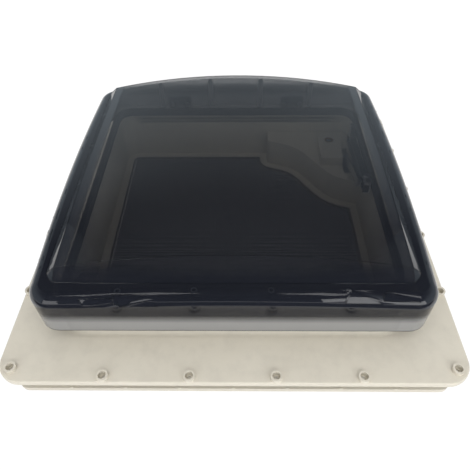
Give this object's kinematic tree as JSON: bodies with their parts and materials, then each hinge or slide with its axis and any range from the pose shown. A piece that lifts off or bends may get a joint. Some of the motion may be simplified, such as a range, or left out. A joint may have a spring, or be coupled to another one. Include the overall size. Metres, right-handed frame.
{
  "type": "caravan roof vent",
  "caption": "Square roof vent: flanged cream frame, smoked crowned lid on rear hinges, raised by a corner worm gearbox and a folding crank.",
  "frame": {"origin": "centre of the roof opening, on the plane where the flange rim meets the roof", "axes": "+Z out of the roof, -Y towards the edge that opens, hinges at +Y, gearbox at +X +Y"},
  "size_m": [0.48, 0.48, 0.1444],
  "materials": {
    "cream_plastic": "satin moulded",
    "smoked_acrylic": "gloss, tinted through",
    "clear_acrylic": "gloss, clear",
    "black_rubber": "matte",
    "grey_foam": "open-cell foam",
    "black_nylon": "matte moulded",
    "zinc_steel": "zinc plated",
    "satin_aluminium": "satin",
    "bronze_bush": "sintered",
    "grey_net": "matte strand"
  },
  "bodies": {
    "root": {"roof_frame": "cream_plastic", "roof_gasket": "grey_foam", "collar_seal": "black_rubber", "gearbox_case": "cream_plastic", "gearbox_base": "cream_plastic", "gearbox_cap": "cream_plastic", "arm_shaft_bushes": "bronze_bush", "worm_bush_lower": "bronze_bush", "worm_bush_upper": "bronze_bush", "hinge_bracket_left": "satin_aluminium", "hinge_bracket_right": "satin_aluminium", "hinge_pin_left": "zinc_steel", "hinge_pin_right": "zinc_steel", "bracket_screws": "zinc_steel", "fly_screen_frame": "cream_plastic", "fly_screen_net": "grey_net"},
    "clamp": {"clamp_frame": "cream_plastic"},
    "lid": {"smoked_lid": "smoked_acrylic", "inner_pane": "clear_acrylic", "pane_spacers": "black_nylon", "pane_screws": "zinc_steel", "hinge_leaf_left": "satin_aluminium", "hinge_leaf_right": "satin_aluminium", "leaf_screws": "zinc_steel", "lift_track": "satin_aluminium", "track_stops": "black_nylon", "track_screws": "zinc_steel"},
    "arm": {"lift_arm": "zinc_steel", "arm_shaft": "zinc_steel", "sector_gear": "black_nylon", "roller_pin": "zinc_steel"},
    "roller": {"arm_roller": "black_nylon"},
    "winder": {"worm_shaft": "zinc_steel", "crank_hub": "black_nylon", "crank_pin": "zinc_steel"},
    "crank": {"crank_arm": "cream_plastic", "knob_pin": "zinc_steel"},
    "knob": {"crank_knob": "cream_plastic"}
  },
  "joints": [
    {"name": "lid_hinge", "type": "hinge", "parent": "root", "child": "lid", "pos_m": [0, 0.207, 0.025], "axis": [-1, 0, 0], "range_deg": [0, 45]},
    {"name": "arm_pivot", "type": "hinge", "parent": "root", "child": "arm", "pos_m": [0.162, 0.113, 0.004], "axis": [-1, 0, 0], "range_deg": [0, 90]},
    {"name": "winder_spin", "type": "hinge", "parent": "root", "child": "winder", "pos_m": [0.14, 0.136, 0], "axis": [0, 0, 1], "range_deg": [0, 1440]},
    {"name": "roller_spin", "type": "hinge", "parent": "arm", "child": "roller", "pos_m": [0.169, 0.02366, 0.04], "axis": [1, 0, 0], "continuous": true},
    {"name": "crank_fold", "type": "hinge", "parent": "winder", "child": "crank", "pos_m": [0.1324, 0.136, -0.024], "axis": [0, -1, 0], "range_deg": [0, 90]},
    {"name": "knob_spin", "type": "hinge", "parent": "crank", "child": "knob", "pos_m": [0.115, 0.136, -0.03], "axis": [0, 0, 1], "continuous": true},
    {"name": "clamp_slide", "type": "slide", "parent": "root", "child": "clamp", "axis": [0, 0, 1], "range_m": [0, 0.024]}
  ],
  "couplings": [
    {"joint": "arm_pivot", "follows": "lid_hinge", "ratio": 2},
    {"joint": "winder_spin", "follows": "lid_hinge", "ratio": 32}
  ]
}
